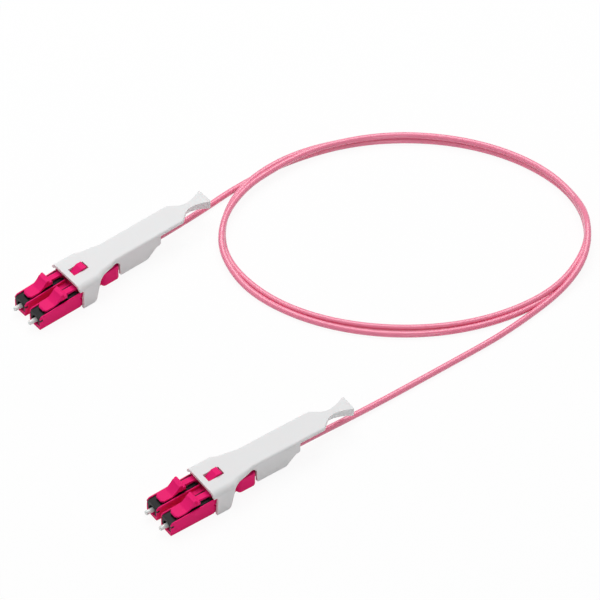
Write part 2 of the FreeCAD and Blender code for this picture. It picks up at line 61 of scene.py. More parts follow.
class End(Enum):
    """The two ends of the cord, by the prefix of their nodes."""

    NEAR = "near"
    FAR = "far"

    def place(self) -> Matrix:
        """Returns the move from a connector's own place, in metres, to where it lies."""
        x, y, turned = {End.NEAR: (-20.0, 0.0, 0.0), End.FAR: (-7.8, 76.8, 3.5)}[self]
        return Matrix.Translation((x * MM, y * MM, 0.0)) @ Matrix.Rotation(math.radians(turned), 4, "Z")


class Side(Enum):
    """The two plugs of a connector, with the sign of their place across it."""

    LEFT = 1
    RIGHT = -1


# ---- node groups -------------------------------------------------------------------------------------------


class NodeGroup:
    """A node group that is built node by node."""

    def __init__(self, name: str, kind: str) -> None:
        """Starts an empty group.

        Args:
            name: the group's name.
            kind: the type of its tree.
        """
        self.tree = bpy.data.node_groups.new(name, kind)

    def node(self, kind: str, **settings: object) -> bpy.types.Node:
        """Adds a node and sets its properties.

        Args:
            kind: the node's type.
            **settings: its properties by name.

        Returns:
            The new node.
        """
        made = self.tree.nodes.new(kind)
        for key, value in settings.items():
            setattr(made, key, value)
        return made

    def link(self, start: bpy.types.NodeSocket, end: bpy.types.NodeSocket) -> None:
        """Joins two sockets."""
        self.tree.links.new(start, end)


class ShaderGroup(NodeGroup):
    """A shader node group made once and shared by the materials."""

    def __init__(self, name: str) -> None:
        """Starts an empty group.

        Args:
            name: the group's name.
        """
        super().__init__(name, "ShaderNodeTree")
        self.inputs = self.node("NodeGroupInput")
        self.outputs = self.node("NodeGroupOutput")

    def socket(self, name: str, kind: str, out: bool = False, value: object = None) -> None:
        """Adds a named socket.

        Args:
            name: the socket's name.
            kind: Float, Color or Vector.
            out: True for an output.
            value: its default value.
        """
        made = self.tree.interface.new_socket(
            name, in_out="OUTPUT" if out else "INPUT", socket_type="NodeSocket" + kind)
        if value is not None:
            made.default_value = value


def moulded_skin() -> bpy.types.NodeTree:
    """Builds the group for a moulded plastic's skin: fine grain, clouding and a roughness that varies.

    Returns:
        The group's tree, with outputs Colour, Roughness and Height.
    """
    group = ShaderGroup("Moulded skin")
    group.socket("Position", "Vector")
    group.socket("Tint", "Color", value=(0.8, 0.8, 0.8, 1.0))
    group.socket("Grain Scale", "Float", value=4000.0)
    group.socket("Cloud Scale", "Float", value=250.0)
    group.socket("Cloud", "Float", value=0.05)
    group.socket("Gloss Low", "Float", value=0.3)
    group.socket("Gloss High", "Float", value=0.45)
    group.socket("Colour", "Color", out=True)
    group.socket("Roughness", "Float", out=True)
    group.socket("Height", "Float", out=True)
    source = group.inputs.outputs

    cloud = group.node("ShaderNodeTexNoise")
    cloud.inputs["Detail"].default_value = 3.0
    group.link(source["Position"], cloud.inputs["Vector"])
    group.link(source["Cloud Scale"], cloud.inputs["Scale"])
    centred = group.node("ShaderNodeMath", operation="SUBTRACT")
    centred.inputs[1].default_value = 0.5
    group.link(cloud.outputs["Fac"], centred.inputs[0])
    shade = group.node("ShaderNodeMath", operation="MULTIPLY_ADD")
    shade.inputs[2].default_value = 1.0
    group.link(centred.outputs[0], shade.inputs[0])
    group.link(source["Cloud"], shade.inputs[1])
    tint = group.node("ShaderNodeVectorMath", operation="SCALE")
    group.link(source["Tint"], tint.inputs[0])
    group.link(shade.outputs[0], tint.inputs["Scale"])
    group.link(tint.outputs[0], group.outputs.inputs["Colour"])

    grain = group.node("ShaderNodeTexNoise")
    grain.inputs["Detail"].default_value = 2.0
    group.link(source["Position"], grain.inputs["Vector"])
    group.link(source["Grain Scale"], grain.inputs["Scale"])
    group.link(grain.outputs["Fac"], group.outputs.inputs["Height"])
    # The noise stays near its middle, so the roughness follows that part of its range.
    gloss = group.node("ShaderNodeMapRange")
    group.link(cloud.outputs["Fac"], gloss.inputs["Value"])
    gloss.inputs["From Min"].default_value = 0.3
    gloss.inputs["From Max"].default_value = 0.7
    group.link(source["Gloss Low"], gloss.inputs["To Min"])
    group.link(source["Gloss High"], gloss.inputs["To Max"])
    group.link(gloss.outputs["Result"], group.outputs.inputs["Roughness"])
    return group.tree


def turned_metal() -> bpy.types.NodeTree:
    """Builds the group for a turned or drawn metal: fine lines round the piece's own long axis.

    Returns:
        The group's tree, with outputs Roughness and Height.
    """
    group = ShaderGroup("Turned metal")
    group.socket("Position", "Vector")
    group.socket("Line Scale", "Float", value=3000.0)
    group.socket("Gloss Low", "Float", value=0.2)
    group.socket("Gloss High", "Float", value=0.4)
    group.socket("Roughness", "Float", out=True)
    group.socket("Height", "Float", out=True)
    source = group.inputs.outputs
    # The noise is drawn out across the axis, which makes lines of it round the axis.
    stretch = group.node("ShaderNodeMapping")
    stretch.inputs["Scale"].default_value = (1.0, 0.05, 0.05)
    group.link(source["Position"], stretch.inputs["Vector"])
    lines = group.node("ShaderNodeTexNoise")
    lines.inputs["Detail"].default_value = 3.0
    group.link(stretch.outputs["Vector"], lines.inputs["Vector"])
    group.link(source["Line Scale"], lines.inputs["Scale"])
    group.link(lines.outputs["Fac"], group.outputs.inputs["Height"])
    gloss = group.node("ShaderNodeMapRange")
    group.link(lines.outputs["Fac"], gloss.inputs["Value"])
    group.link(source["Gloss Low"], gloss.inputs["To Min"])
    group.link(source["Gloss High"], gloss.inputs["To Max"])
    group.link(gloss.outputs["Result"], group.outputs.inputs["Roughness"])
    return group.tree


SKIN = moulded_skin()
TURNED = turned_metal()


# ---- finishes ----------------------------------------------------------------------------------------------


@dataclass(frozen=True)
class Finish:
    """What every finish has: a colour, and a surface whose gloss and relief vary.

    Attributes:
        name: the material's name.
        tint: its colour, linear.
        gloss: lowest and highest roughness.
        depth: depth of the surface's relief in millimetres.
    """

    name: str
    tint: Colour
    gloss: tuple[float, float] = (0.35, 0.5)
    depth: float = 0.004

    def material(self) -> bpy.types.Material:
        """Builds the material, or finds the one already built.

        Returns:
            The material.
        """
        done = bpy.data.materials.get(self.name)
        if done:
            return done
        made = bpy.data.materials.new(self.name)
        made.use_nodes = True
        self.fill(made.node_tree)
        return made

    def fill(self, tree: bpy.types.NodeTree) -> None:
        """Sets up the material's nodes, which each kind of finish does in its own way."""
        raise NotImplementedError

    def surface(self, tree: bpy.types.NodeTree,
                kind: bpy.types.NodeTree) -> tuple[bpy.types.Node, bpy.types.Node]:
        """Adds a shared group and lets it drive the shader's roughness and relief.

        Args:
            tree: the material's nodes.
            kind: the shared group.

        Returns:
            The group's node and the bump node.
        """
        shader = tree.nodes["Principled BSDF"]
        place = tree.nodes.new("ShaderNodeTexCoord")
        skin = tree.nodes.new("ShaderNodeGroup")
        skin.node_tree = kind
        skin.inputs["Gloss Low"].default_value = self.gloss[0]
        skin.inputs["Gloss High"].default_value = self.gloss[1]
        tree.links.new(place.outputs["Object"], skin.inputs["Position"])
        tree.links.new(skin.outputs["Roughness"], shader.inputs["Roughness"])
        bump = tree.nodes.new("ShaderNodeBump")
        bump.inputs["Distance"].default_value = self.depth * MM
        tree.links.new(skin.outputs["Height"], bump.inputs["Height"])
        tree.links.new(bump.outputs["Normal"], shader.inputs["Normal"])
        return skin, bump


@dataclass(frozen=True)
class Moulding(Finish):
    """A moulded plastic.

    Attributes:
        grain: size of the grain in millimetres.
        relief: share of the grain's depth that shows.
        cloud: how much the colour varies.
        coat: strength of the clear skin on a polished moulding.
        coat_roughness: roughness of that skin.
        scatter: how much light goes into the plastic and comes out again.
        reach: how far that light goes, in millimetres.
        sheen: level of its mirror reflection, 0.5 for a polished face.
    """

    grain: float = 0.12
    relief: float = 0.5
    cloud: float = 0.06
    coat: float = 0.0
    coat_roughness: float = 0.12
    scatter: float = 0.0
    reach: float = 0.4
    sheen: float = 0.25

    def fill(self, tree: bpy.types.NodeTree) -> None:
        """Sets up the nodes of a plastic.

        Args:
            tree: the material's nodes.
        """
        skin, bump = self.surface(tree, SKIN)
        bump.inputs["Strength"].default_value = self.relief
        skin.inputs["Tint"].default_value = (*self.tint, 1.0)
        skin.inputs["Grain Scale"].default_value = 1.0 / (self.grain * MM)
        skin.inputs["Cloud"].default_value = self.cloud
        shader = tree.nodes["Principled BSDF"]
        tree.links.new(skin.outputs["Colour"], shader.inputs["Base Color"])
        shader.inputs["IOR"].default_value = 1.5
        shader.inputs["Specular IOR Level"].default_value = self.sheen
        shader.inputs["Coat Weight"].default_value = self.coat
        shader.inputs["Coat Roughness"].default_value = self.coat_roughness
        if self.scatter > 0:
            shader.inputs["Subsurface Weight"].default_value = self.scatter
            shader.inputs["Subsurface Radius"].default_value = (1.0, 0.6, 0.6)
            shader.inputs["Subsurface Scale"].default_value = self.reach * MM


@dataclass(frozen=True)
class Metal(Finish):
    """A turned or drawn metal, glossier than a moulding and with a shallower relief."""

    gloss: tuple[float, float] = (0.22, 0.4)
    depth: float = 0.002

    def fill(self, tree: bpy.types.NodeTree) -> None:
        """Sets up the nodes of a metal.

        Args:
            tree: the material's nodes.
        """
        self.surface(tree, TURNED)
        shader = tree.nodes["Principled BSDF"]
        shader.inputs["Base Color"].default_value = (*self.tint, 1.0)
        shader.inputs["Metallic"].default_value = 1.0


MAGENTA = Moulding("Magenta plastic", (0.88, 0.015, 0.175), gloss=(0.28, 0.42), depth=0.007, cloud=0.1,
                   sheen=0.04)
MAGENTA_SOFT = Moulding("Magenta boot", (0.80, 0.015, 0.155), gloss=(0.5, 0.62), grain=0.2, sheen=0.06)
WHITE = Moulding("White tab plastic", (0.80, 0.80, 0.805), gloss=(0.45, 0.58), depth=0.006, cloud=0.03,
                 scatter=0.1)
BLACK = Moulding("Black plug plastic", (0.006, 0.006, 0.007), gloss=(0.32, 0.44), cloud=0.2, sheen=0.12)
CERAMIC = Moulding("Zirconia", (0.78, 0.80, 0.79), gloss=(0.08, 0.14), grain=0.05, depth=0.0005, coat=0.4,
                   scatter=0.2, sheen=0.5)
CORE = Moulding("Fibre core", (0.05, 0.05, 0.06), gloss=(0.05, 0.08), depth=0.0002, sheen=0.5)
JACKET = Moulding("Cord jacket", (0.85, 0.185, 0.315), gloss=(0.2, 0.27), grain=0.6, depth=0.0004, coat=0.7,
                  scatter=0.15, sheen=0.5)
BUFFER = Moulding("Fibre buffer", (0.8, 0.45, 0.55), gloss=(0.4, 0.5))
STEEL = Metal("Spring steel", (0.56, 0.56, 0.58))
BRASS = Metal("Nickelled brass", (0.62, 0.58, 0.5))


# ---- meshes ------------------------------------------------------------------------------------------------


def place_mesh(name: str, mesh: bpy.types.Mesh, finish: bpy.types.Material) -> bpy.types.Object:
    """Puts a mesh in the scene with one material.

    Args:
        name: the object's name.
        mesh: its mesh, already in the row frame.
        finish: its material.

    Returns:
        The new object.
    """
    piece = bpy.data.objects.new(name, mesh)
    bpy.context.scene.collection.objects.link(piece)
    mesh.materials.clear()
    mesh.materials.append(finish)
    return piece


def applied(piece: bpy.types.Object) -> bpy.types.Object:
    """Turns a piece's modifiers into its mesh.

    Args:
        piece: the object, with its modifiers.

    Returns:
        The same object with a plain mesh.
    """
    graph = bpy.context.evaluated_depsgraph_get()
    mesh = bpy.data.meshes.new_from_object(piece.evaluated_get(graph))
    piece.modifiers.clear()
    piece.data = mesh
    return piece


def copied_mesh(node: str, name: str, flat: float = 0.0) -> bpy.types.Mesh:
    """Copies a CAD node's mesh, with the vertices that lie together merged.

    Args:
        node: the CAD node.
        name: the new mesh's name.
        flat: faces that meet at less than this angle, in degrees, become one. 0 keeps them all.

    Returns:
        The new mesh.
    """
    copy = bmesh.new()
    copy.from_mesh(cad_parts[node].data)
    bmesh.ops.remove_doubles(copy, verts=copy.verts, dist=MERGE * MM)
    if flat:
        bmesh.ops.dissolve_limit(copy, angle_limit=math.radians(flat), verts=copy.verts, edges=copy.edges,
                                 use_dissolve_boundaries=False)
    mesh = bpy.data.meshes.new(name)
    copy.to_mesh(mesh)
    copy.free()
    return mesh


@dataclass
class RoundedCopy:
    """A node's moulding with its edges rounded, as it comes from a mould.

    Attributes:
        node: the CAD node that the copy stands for.
        body: the body that it rides on.
        finish: its plastic.
        radius: the radius of its edges in millimetres.
        slot: the name of a material slot; not used.
        flat: faces that meet at less than this angle, in degrees, are one face.
        sharp: edges that turn by more than this angle, in degrees, are rounded.
        steps: how many strips a rounded edge has.
        evenness: how far large faces outweigh small ones in the shading, 50 for neutral.
    """

    node: str
    body: str
    finish: Moulding
    radius: float
    slot: str
    flat: float = 0.5
    sharp: float = 28.0
    steps: int = 3
    evenness: int = 80

    def build(self) -> bpy.types.Object:
        """Builds the rounded copy.

        Returns:
            The object that replaces the node.
        """
        name = self.node + "_moulded"
        piece = place_mesh(name, copied_mesh(self.node, name, self.flat), self.finish.material())
        bevel = piece.modifiers.new("Rounded edges", "BEVEL")
        bevel.width = self.radius * MM
        bevel.segments = self.steps
        bevel.limit_method = "ANGLE"
        bevel.angle_limit = math.radians(self.sharp)
        bevel.use_clamp_overlap = True
        piece.data.shade_smooth()
        even = piece.modifiers.new("Even faces", "WEIGHTED_NORMAL")
        even.mode = "FACE_AREA_WITH_ANGLE"
        even.weight = self.evenness
        piece = applied(piece)
        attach(piece, self.body)
        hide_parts(self.node)
        return piece


class RibTree(NodeGroup):
    """The geometry nodes that set rings along a tapered sleeve, each as wide as the sleeve is there."""

    RING_POINTS = 32
    SECTION_POINTS = 8
    SIZES = (("Ribs", "Int"), ("Front", "Float"), ("Rear", "Float"), ("Front Radius", "Float"),
             ("Rear Radius", "Float"), ("Height", "Float"), ("Fullness", "Float"))

    def __init__(self) -> None:
        """Builds the tree."""
        super().__init__("Flex ribs", "GeometryNodeTree")
        face = self.tree.interface
        face.new_socket("Geometry", in_out="INPUT", socket_type="NodeSocketGeometry")
        self.sockets = {
            name: face.new_socket(name, in_out="INPUT", socket_type="NodeSocket" + kind).identifier
            for name, kind in (*self.SIZES, ("Finish", "Material"))}
        face.new_socket("Geometry", in_out="OUTPUT", socket_type="NodeSocketGeometry")
        self.source = self.node("NodeGroupInput").outputs
        self.finish(self.rings(self.line(), self.rib(), self.widths()))

    def line(self) -> bpy.types.NodeSocket:
        """Adds the points on the sleeve's axis, one for each rib.

        Returns:
            The socket with the points.
        """
        row = self.node("GeometryNodeMeshLine", mode="END_POINTS", count_mode="TOTAL")
        self.link(self.source["Ribs"], row.inputs["Count"])
        for edge, socket in (("Front", "Start Location"), ("Rear", "Offset")):
            spot = self.node("ShaderNodeCombineXYZ")
            self.link(self.source[edge], spot.inputs["X"])
            self.link(self.source["Height"], spot.inputs["Z"])
            self.link(spot.outputs[0], row.inputs[socket])
        return row.outputs["Mesh"]

    def rib(self) -> bpy.types.NodeSocket:
        """Adds one ring of radius 1 with a round section.

        Returns:
            The socket with the ring.
        """
        ring = self.node("GeometryNodeCurvePrimitiveCircle", mode="RADIUS")
        ring.inputs["Resolution"].default_value = self.RING_POINTS
        ring.inputs["Radius"].default_value = 1.0
        section = self.node("GeometryNodeCurvePrimitiveCircle", mode="RADIUS")
        section.inputs["Resolution"].default_value = self.SECTION_POINTS
        self.link(self.source["Fullness"], section.inputs["Radius"])
        sweep = self.node("GeometryNodeCurveToMesh")
        self.link(ring.outputs["Curve"], sweep.inputs["Curve"])
        self.link(section.outputs["Curve"], sweep.inputs["Profile Curve"])
        smooth = self.node("GeometryNodeSetShadeSmooth")
        self.link(sweep.outputs["Mesh"], smooth.inputs["Geometry"])
        return smooth.outputs["Geometry"]

    def widths(self) -> bpy.types.NodeSocket:
        """Adds the radius of each ring, from the front one to the rear one.

        Returns:
            The socket with the radius.
        """
        last = self.node("ShaderNodeMath", operation="SUBTRACT")
        self.link(self.source["Ribs"], last.inputs[0])
        last.inputs[1].default_value = 1.0
        taper = self.node("ShaderNodeMapRange")
        self.link(self.node("GeometryNodeInputIndex").outputs[0], taper.inputs["Value"])
        self.link(last.outputs[0], taper.inputs["From Max"])
        self.link(self.source["Front Radius"], taper.inputs["To Min"])
        self.link(self.source["Rear Radius"], taper.inputs["To Max"])
        return taper.outputs["Result"]

    def rings(self, line: bpy.types.NodeSocket, rib: bpy.types.NodeSocket,
              width: bpy.types.NodeSocket) -> bpy.types.NodeSocket:
        """Sets the ring on every point, square to the axis.

        Args:
            line: the points.
            rib: the ring.
            width: its radius at each point.

        Returns:
            The rings as instances.
        """
        spread = self.node("GeometryNodeInstanceOnPoints")
        spread.inputs["Rotation"].default_value = (0.0, math.radians(90), 0.0)
        self.link(line, spread.inputs["Points"])
        self.link(rib, spread.inputs["Instance"])
        self.link(width, spread.inputs["Scale"])
        return spread.outputs["Instances"]

    def finish(self, rings: bpy.types.NodeSocket) -> None:
        """Ends the tree in a real mesh with its material.

        Args:
            rings: the rings as instances.
        """
        real = self.node("GeometryNodeRealizeInstances")
        dressed = self.node("GeometryNodeSetMaterial")
        self.link(rings, real.inputs["Geometry"])
        self.link(real.outputs["Geometry"], dressed.inputs["Geometry"])
        self.link(self.source["Finish"], dressed.inputs["Material"])
        self.link(dressed.outputs["Geometry"], self.node("NodeGroupOutput").inputs["Geometry"])


@dataclass
class FlexRibs:
    """The ribs that let the boot bend evenly. Lengths are in millimetres along the connector.

    Attributes:
        count: how many ribs.
        front: where the first one is.
        rear: where the last one is.
        front_radius: the boot's radius at the first one.
        rear_radius: the boot's radius at the last one.
        fullness: a rib's own radius as a share of its ring's.
    """

    count: int = 9
    front: float = 31.5
    rear: float = 39.3
    front_radius: float = 2.01
    rear_radius: float = 1.37
    fullness: float = 0.07

    def build(self, end: End, tree: RibTree) -> bpy.types.Object:
        """Builds the ribs of one boot.

        Args:
            end: which end of the cord the boot is on.
            tree: the geometry nodes.

        Returns:
            The ribs' object.
        """
        plastic = MAGENTA_SOFT.material()
        piece = place_mesh(f"{end.value}_boot_ribs", bpy.data.meshes.new("ribs"), plastic)
        maker = piece.modifiers.new("Ribs", "NODES")
        maker.node_group = tree.tree
        values = {"Ribs": self.count, "Front": self.front * MM, "Rear": self.rear * MM,
                  "Front Radius": self.front_radius * MM, "Rear Radius": self.rear_radius * MM,
                  "Height": AXIS_HEIGHT * MM, "Fullness": self.fullness, "Finish": plastic}
        for name, value in values.items():
            maker[tree.sockets[name]] = value
        piece = applied(piece)
        piece.data.transform(end.place())
        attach(piece, "cord_set")
        return piece


@dataclass
class FibreEnd:
    """The polished end of the glass fibre in the middle of a ferrule's tip, in millimetres.

    Attributes:
        radius: the fibre's radius.
        taper: radius of its polished face as a share of the fibre's.
        sides: how many sides its round has.
        proud: how far it stands out of the ferrule.
        depth: how far it goes into the ferrule.
        tip: where the ferrule's tip is along the connector.
    """

    radius: float = 0.0625
    taper: float = 0.8
    sides: int = 24
    proud: float = 0.004
    depth: float = 0.1
    tip: float = -1.9

    def build(self, end: End, side: Side) -> bpy.types.Object:
        """Builds one fibre end.

        Args:
            end: which end of the cord it is on.
            side: which plug it is in.

        Returns:
            The fibre end's object.
        """
        glass = bmesh.new()
        length = self.proud + self.depth
        bmesh.ops.create_cone(glass, cap_ends=True, segments=self.sides, radius1=self.radius * MM,
                              radius2=self.radius * self.taper * MM, depth=length * MM)
        middle = Matrix.Translation(((self.tip - self.proud + length / 2) * MM, side.value * PLUG_ACROSS * MM,
                                     AXIS_HEIGHT * MM))
        bmesh.ops.transform(glass, verts=glass.verts,
                            matrix=end.place() @ middle @ Matrix.Rotation(math.radians(-90), 4, "Y"))
        name = f"{end.value}_{side.name.lower()}_fibre_end"
        mesh = bpy.data.meshes.new(name)
        glass.to_mesh(mesh)
        glass.free()
        piece = place_mesh(name, mesh, CORE.material())
        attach(piece, f"{end.value}_{side.name.lower()}_ferrule_train")
        return piece


@dataclass
class FerruleSpring:
    """The coil spring behind a ferrule, copied from its node as it lies. Lengths are in millimetres.

    Attributes:
        front: where it meets the ferrule's flange along the connector; not used.
        rear: where it meets its stop; not used.
    """

    front: float = 5.6
    rear: float = 10.65

    def build(self, end: End, side: Side) -> bpy.types.Object:
        """Builds one spring from its node's mesh.

        Args:
            end: which end of the cord it is on.
            side: which plug it is in.

        Returns:
            The spring's object.
        """
        prefix = f"{end.value}_{side.name.lower()}_"
        node = prefix + "ferrule_spring"
        mesh = copied_mesh(node, node + "_coil")
        mesh.shade_smooth()
        piece = place_mesh(node + "_coil", mesh, STEEL.material())
        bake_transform(piece)
        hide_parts(node)
        return piece


# ---- connectors --------------------------------------------------------------------------------------------


@dataclass
class Connector:
    """One connector: two plugs, the housing behind them, the release trigger and the push-pull tab.

    Attributes:
        end: which end of the cord it is on.
        ribs: the geometry nodes for the boot's ribs.
        edge: radius of the mouldings' edges in millimetres.
        tab_edge: radius of the tab's edges in millimetres.
    """

    end: End
    ribs: RibTree
    edge: float = 0.07
    tab_edge: float = 0.2

    def name(self, part: str, side: Side | None = None) -> str:
        """Returns the name of this connector's node or body."""
        middle = "" if side is None else side.name.lower() + "_"
        return f"{self.end.value}_{middle}{part}"

    def moulded(self, part: str, body: str, finish: Moulding, radius: float, slot: str,
                side: Side | None = None) -> bpy.types.Object:
        """Replaces one node by its rounded copy.

        Args:
            part: the node's name without its prefixes.
            body: the body that it rides on.
            finish: its plastic.
            radius: the radius of its edges in millimetres.
            slot: the name of a material slot, handed to the copy, which does not use it.
            side: the plug that it belongs to, if it does.

        Returns:
            The new piece.
        """
        piece = RoundedCopy(self.name(part, side), body, finish, radius, slot).build()
        log.info("%s on %s", piece.name, body)
        return piece

    def dress(self, part: str, finish: Finish, side: Side | None = None) -> None:
        """Gives a node that stays its own material.

        Args:
            part: the node's name without its prefixes.
            finish: its finish.
            side: the plug that it belongs to, if it does.
        """
        name = self.name(part, side)
        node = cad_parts[name]
        node.data.materials.clear()
        node.data.materials.append(finish.material())
        log.info("%s in %s", name, finish.name)

    def plug(self, side: Side) -> None:
        """Builds one plug and dresses what is inside it.

        Args:
            side: which of the two plugs.
        """
        latch = self.name("latch", side)
        self.moulded("plug_shell", "cord_set", MAGENTA, self.edge, "magenta_plastic", side)
        self.moulded("plug_frame", "cord_set", BLACK, self.edge, "black_plastic", side)
        self.moulded("latch_lever", latch, MAGENTA, self.edge, "magenta_plastic", side)
        self.dress("ferrule", CERAMIC, side)
        self.dress("ferrule_flange", STEEL, side)
        log.info("%s between its ferrule and its stop", FerruleSpring().build(self.end, side).name)
        self.dress("spring_stop", STEEL, side)
        self.dress("fibre", BUFFER, side)
        log.info("%s in its ferrule", FibreEnd().build(self.end, side).name)

    def housing(self) -> None:
        """Builds the housing, the trigger and the crimp behind it."""
        self.moulded("housing_base", "cord_set", MAGENTA, self.edge, "magenta_plastic")
        self.moulded("housing_cover", "cord_set", MAGENTA, self.edge, "magenta_plastic")
        self.moulded("release_trigger", self.name("trigger"), MAGENTA, self.edge, "magenta_plastic")
        self.dress("crimp_post", BRASS)
        self.dress("crimp_ring", BRASS)
        self.dress("cord_boot", MAGENTA_SOFT)
        log.info("%s on cord_set", FlexRibs().build(self.end, self.ribs).name)

    def tab(self) -> None:
        """Builds the push-pull tab."""
        self.moulded("push_pull_tab", self.name("tab"), WHITE, self.tab_edge, "white_plastic")

    def build(self) -> None:
        """Builds the whole connector."""
        for side in Side:
            self.plug(side)
        self.housing()
        self.tab()


# ---- cord --------------------------------------------------------------------------------------------------


@dataclass
class PatchCord:
    """The cord, from the near connector's boot round the loop to the far connector's.

    Attributes:
        diameter: the cord's diameter in millimetres.
        centre: the loop's centre in millimetres.
        turn: direction of the loop's long axis in degrees.
        semi: half of the loop's length and width along the middle of its turns, in millimetres.
        entry: the angle, from the long axis, at which the far lead comes in.
        step: angle between the points of a turn, in degrees.
        between: how many pieces the curve has from one point to the next.
        around: how finely its round section is divided.
    """

    diameter: float = 1.7
    centre: tuple[float, float] = (87.95, 44.45)
    turn: float = -35.5
    semi: tuple[float, float] = (47.5, 34.75)
    entry: float = 155.0
    step: float = 10.0
    between: int = 8
    around: int = 6

    # The near lead's points and the far lead's, in millimetres, each from its boot.
    near_lead: tuple[Point, ...] = (
        (13.2, 0.0, 2.2), (24.0, 0.0, 2.2), (45.0, 0.5, 0.85), (66.0, 0.8, 0.85), (84.0, 1.1, 0.85),
        (92.0, 1.9, 0.85),
    )
    far_lead: tuple[Point, ...] = (
        (25.34, 78.83, 2.2), (36.12, 79.49, 2.2), (50.5, 81.9, 0.85), (60.0, 83.3, 0.85),
    )

    # How the turns lie, given point by point: angle travelled from the far lead, distance outside the loop's
    # line, height. Where one strand crosses another, it is lifted over it.
    lay: tuple[Point, ...] = (
        # First turn
        (15.0, 0.0, 0.85), (30.0, -0.8, 0.85), (55.0, -0.5, 0.85), (85.0, -0.3, 0.85),
        (110.0, -0.3, 0.85), (135.0, 0.0, 0.85), (155.0, -0.1, 0.85), (175.0, 0.0, 0.85),
        (190.0, 0.3, 0.85), (205.0, 0.5, 0.85), (245.0, 0.9, 0.85), (285.0, 0.9, 0.85),
        (300.0, 1.1, 1.0), (320.0, 0.9, 2.1), (335.0, -0.1, 2.55), (355.0, -1.2, 2.55),
        # Second turn
        (378.0, -1.9, 2.55), (395.0, -0.9, 2.5), (425.0, -0.1, 2.35), (470.0, -0.2, 2.35),
        (500.0, -0.4, 2.5), (515.0, 0.0, 2.55), (535.0, -0.4, 2.3), (550.0, -0.3, 1.9),
        (575.0, -1.2, 0.95), (605.0, -1.4, 0.85), (660.0, -0.8, 0.85), (685.0, -0.2, 0.85),
        (700.0, -0.2, 1.1),
        # Last turn
        (722.0, -0.5, 2.55), (745.0, -0.5, 2.55), (765.0, 0.6, 1.05), (785.0, 1.1, 0.85),
        (830.0, 0.6, 0.95), (850.0, -0.2, 2.2), (875.0, -0.1, 4.25), (895.0, 1.0, 2.95),
        (909.0, 1.2, 1.7), (920.0, 1.7, 0.85), (930.0, 3.1, 0.85),
    )

    def laid(self, travelled: float) -> tuple[float, float]:
        """Finds how a point of the turns lies.

        Args:
            travelled: the angle travelled from the far lead, in degrees.

        Returns:
            Its distance outside the loop's line and its height, in millimetres.
        """
        for (t0, o0, z0), (t1, o1, z1) in zip(self.lay, self.lay[1:]):
            if t0 <= travelled <= t1:
                share = (travelled - t0) / (t1 - t0)
                eased = share * share * (3 - 2 * share)
                return o0 + (o1 - o0) * eased, z0 + (z1 - z0) * eased
        return self.lay[-1][1:]

    def loop(self) -> list[Point]:
        """Works out the points of the turns, from the far lead to the near one.

        Returns:
            The points in millimetres.
        """
        along = Matrix.Rotation(math.radians(self.turn), 2)
        points = []
        travelled = self.lay[0][0]
        while travelled <= self.lay[-1][0]:
            outside, height = self.laid(travelled)
            angle = math.radians(self.entry - travelled)
            flat = along @ Vector(((self.semi[0] + outside) * math.cos(angle),
                                   (self.semi[1] + outside) * math.sin(angle)))
            points.append((self.centre[0] + flat.x, self.centre[1] + flat.y, height))
            travelled += self.step
        return points

    def build(self) -> bpy.types.Object:
        """Builds the cord as one smooth curve.

        Returns:
            The cord's object.
        """
        points = [*self.near_lead, *reversed(self.loop()), *reversed(self.far_lead)]
        curve = bpy.data.curves.new("cord", "CURVE")
        curve.dimensions = "3D"
        spline = curve.splines.new("NURBS")
        spline.points.add(len(points) - 1)
        for knot, point in zip(spline.points, points):
            knot.co = (point[0] * MM, point[1] * MM, point[2] * MM, 1.0)
        spline.order_u = 3
        spline.use_endpoint_u = True
        spline.resolution_u = self.between
        curve.bevel_depth = self.diameter / 2 * MM
        curve.bevel_resolution = self.around
        curve.use_fill_caps = True
        curve.materials.append(JACKET.material())
        piece = bpy.data.objects.new("cord", curve)
        bpy.context.scene.collection.objects.link(piece)
        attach(piece, "cord_set")
        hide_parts("cord_near_lead", "cord_coil", "cord_far_lead")
        self.length(piece)
        return piece

    def length(self, piece: bpy.types.Object) -> float:
        """Measures the cord's centreline.

        Args:
            piece: the cord's object.

        Returns:
            Its length in metres.
        """
        bare = piece.data.copy()
        bare.bevel_depth = 0.0
        probe = bpy.data.objects.new("probe", bare)
        mesh = bpy.data.meshes.new_from_object(probe)
        ends = ([mesh.vertices[i].co for i in edge.vertices] for edge in mesh.edges)
        total = sum((first - last).length for first, last in ends)
        bpy.data.objects.remove(probe)
        bpy.data.meshes.remove(mesh)
        bpy.data.curves.remove(bare)
        return round(total, 4)


# ---- studio ------------------------------------------------------------------------------------------------


